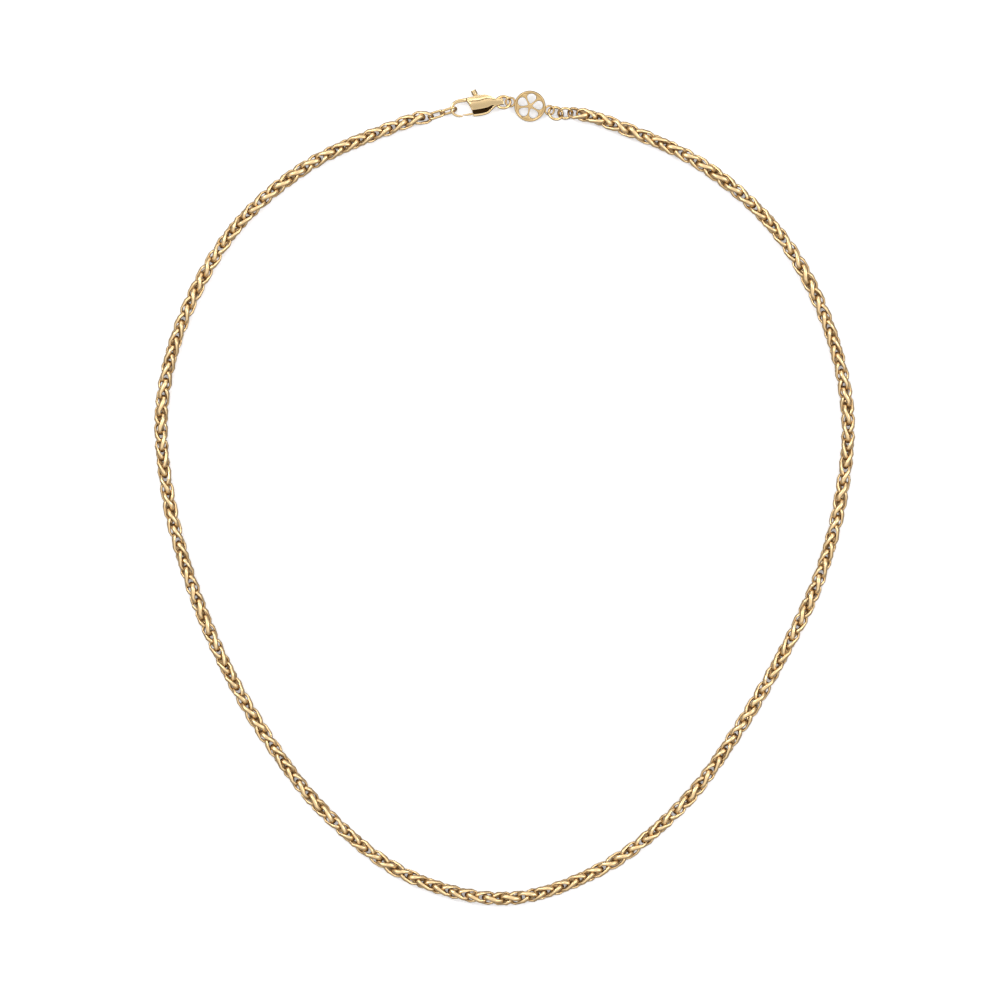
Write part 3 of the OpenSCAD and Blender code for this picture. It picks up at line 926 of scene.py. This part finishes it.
@dataclass
class Studio:
    """Pale floor, soft lights and the camera that looks straight down as the photograph does.

    Attributes:
        photo_mm: width of the picture on the surface.
        middle_mm: place on the surface at the picture's middle.
        height_mm: height of the camera.
        sensor: width of the camera's sensor, in millimetres.
        clip_m: how far the camera sees, in metres.
        floor_half_m: half the width of the floor, in metres.
        floor_level_mm: height of the floor, just under the necklace.
        floor_seen: colour of the floor to the camera.
        floor_glow: light of its own that it adds there.
        floor_mirrored: colour of the floor in reflections.
        backdrop: colour of the surroundings to the camera.
        walls: height of the direction, from 0 at the floor to 1 straight up, and grey of the walls there.
        wall_light: strength of the walls.
    """

    photo_mm: float = 217.6
    middle_mm: tuple[float, float] = (-1.0, -0.61)
    height_mm: float = 1200.0
    sensor: float = 36.0
    clip_m: float = 20.0
    floor_half_m: float = 3.0
    floor_level_mm: float = -0.03
    floor_seen: tuple[float, float, float, float] = (0.97, 0.975, 1.0, 1.0)
    floor_glow: float = 0.3
    floor_mirrored: tuple[float, float, float, float] = (0.34, 0.33, 0.33, 1.0)
    backdrop: tuple[float, float, float, float] = (0.93, 0.94, 0.97, 1.0)
    walls: tuple[tuple[float, float], ...] = (
        (0.0, 0.10), (0.30, 0.16), (0.50, 0.40), (0.68, 0.92), (0.86, 0.90), (0.96, 0.58), (1.0, 0.48))
    wall_light: float = 1.25

    def camera(self) -> None:
        """Long lens straight above the middle of the picture."""
        data = bpy.data.cameras.new("camera")
        data.sensor_width = self.sensor
        data.lens = self.sensor * self.height_mm / self.photo_mm
        data.clip_end = self.clip_m
        camera = add_object("camera", data)
        camera.location = (self.middle_mm[0] * MM, self.middle_mm[1] * MM, self.height_mm * MM)
        bpy.context.scene.camera = camera

    def floor(self) -> None:
        """Wide flat floor just under the necklace: white to the camera, grey in the metal's reflections."""
        mesh = bpy.data.meshes.new("floor")
        half = self.floor_half_m
        corners = [(-half, -half), (half, -half), (half, half), (-half, half)]
        mesh.from_pydata([(x, y, self.floor_level_mm * MM) for x, y in corners], [], [(0, 1, 2, 3)])
        material = bpy.data.materials.new("floor_white")
        material.use_nodes = True
        tree = material.node_tree
        tree.nodes.clear()
        lit = tree.nodes.new("ShaderNodeBsdfDiffuse")
        lit.inputs["Color"].default_value = self.floor_seen
        glow = tree.nodes.new("ShaderNodeEmission")
        glow.inputs["Strength"].default_value = self.floor_glow
        seen = tree.nodes.new("ShaderNodeAddShader")
        tree.links.new(lit.outputs[0], seen.inputs[0])
        tree.links.new(glow.outputs[0], seen.inputs[1])
        other = tree.nodes.new("ShaderNodeBsdfDiffuse")
        other.inputs["Color"].default_value = self.floor_mirrored
        self.by_ray(tree, other, seen, "ShaderNodeOutputMaterial")
        mesh.materials.append(material)
        add_object("floor", mesh)

    @staticmethod
    def by_ray(tree: bpy.types.NodeTree, other: bpy.types.Node, seen: bpy.types.Node, output: str) -> None:
        """Mixes two shaders so that the camera's own rays meet seen and all others meet other."""
        ray = tree.nodes.new("ShaderNodeLightPath")
        mix = tree.nodes.new("ShaderNodeMixShader")
        tree.links.new(ray.outputs["Is Camera Ray"], mix.inputs["Fac"])
        tree.links.new(other.outputs[0], mix.inputs[1])
        tree.links.new(seen.outputs[0], mix.inputs[2])
        tree.links.new(mix.outputs[0], tree.nodes.new(output).inputs["Surface"])

    def surround(self) -> bpy.types.World:
        """Soft studio walls: dark near the floor, a broad bright ring higher up, a dimmer patch overhead."""
        world = bpy.data.worlds.new("studio")
        world.use_nodes = True
        tree = world.node_tree
        tree.nodes.clear()
        split = tree.nodes.new("ShaderNodeSeparateXYZ")
        tree.links.new(tree.nodes.new("ShaderNodeTexCoord").outputs["Generated"], split.inputs["Vector"])
        greys = tree.nodes.new("ShaderNodeValToRGB")
        greys.color_ramp.interpolation = "B_SPLINE"
        stops = greys.color_ramp.elements
        for place, light in self.walls[1:-1]:
            stops.new(place)
        for stop, (place, light) in zip(stops, self.walls):
            stop.position = place
            stop.color = (light, light, light, 1.0)
        tree.links.new(split.outputs["Z"], greys.inputs["Fac"])
        walls = tree.nodes.new("ShaderNodeBackground")
        walls.inputs["Strength"].default_value = self.wall_light
        tree.links.new(greys.outputs["Color"], walls.inputs["Color"])
        seen = tree.nodes.new("ShaderNodeBackground")
        seen.inputs["Color"].default_value = self.backdrop
        self.by_ray(tree, walls, seen, "ShaderNodeOutputWorld")
        return world

    def build(self) -> None:
        """Sets up the whole studio."""
        self.camera()
        self.floor()
        for lamp in LAMPS:
            lamp.hang()
        scene = bpy.context.scene
        scene.world = self.surround()
        scene.view_settings.view_transform = "Standard"
        scene.view_settings.look = "None"


def chain_pieces(fittings: Fittings) -> Iterator[Piece]:
    """The wheat links, one piece for each strand."""
    chain = WheatChain()
    left_end, right_end = fittings.chain_ends(chain.run_z)
    route = np.concatenate([ROUTE, np.full((len(ROUTE), 1), chain.run_z)], axis=1)
    run = Run(np.concatenate([[left_end, left_end], route, [right_end, right_end]]))
    # The line starts one span before the route's first knot
    join = float(run.arc[(JOIN + 1) * run.per_span])
    for side, links in zip(("left", "right"), chain.links(run, join)):
        mesh = links.mesh(side + "_links")
        yield Piece(side + "_strand_links", mesh, WHEAT_GOLD, "necklace", (side + "_strand",))


def wire_pieces(fittings: Fittings) -> Iterator[Piece]:
    """The three jump rings and the two end links."""
    shapes = {
        "clasp_ring": fittings.jump_ring("clasp_ring", fittings.clasp_ring_heading, -fittings.ring_lean),
        "tag_ring": fittings.jump_ring("tag_ring", fittings.tag_ring_heading, -fittings.ring_lean),
        "chain_ring": fittings.jump_ring("chain_ring", fittings.chain_ring_heading, fittings.ring_lean_end),
        "end_link_1": fittings.end_link("end_link_1", fittings.link_lean - fittings.link_turn),
        "end_link_2": fittings.end_link("end_link_2", fittings.link_lean),
    }
    for node, shape in shapes.items():
        yield Piece(node + "_wire", shape.mesh(node), WIRE_GOLD, "necklace", (node,))


def tag_piece(fittings: Fittings) -> Piece:
    """The pierced disc with its lugs."""
    tag = Tag()
    seat = Seat(node_middle("tag"), fittings.tag_heading, fittings.tag_lean)
    return Piece("tag_disc", tag.shape(seat).mesh("tag", tag.weld_mm), TAG_GOLD, "necklace", ("tag",))


def clasp_pieces(fittings: Fittings) -> Iterator[Piece]:
    """The clasp's body, its lever and the pin that the lever turns on."""
    clasp = Clasp()
    parts = (
        ("clasp_casting", "clasp_body", "necklace"),
        ("clasp_trigger", "clasp_lever", "lever"),
        ("clasp_rivet", "clasp_pin", "necklace"),
    )
    for name, node, body in parts:
        yield Piece(name, clasp.polished(node, fittings.clasp_heading), CLASP_GOLD, body, (node,))


def main() -> None:
    """Builds the necklace piece by piece, then the studio, and notes the sizes."""
    logging.basicConfig(level=logging.INFO, format="%(name)s: %(message)s")
    fittings = Fittings()
    for piece in chain_pieces(fittings):
        piece.place()
    for piece in wire_pieces(fittings):
        piece.place()
    tag_piece(fittings).place()
    for piece in clasp_pieces(fittings):
        piece.place()
    Studio().build()


if __name__ == "__main__":
    main()
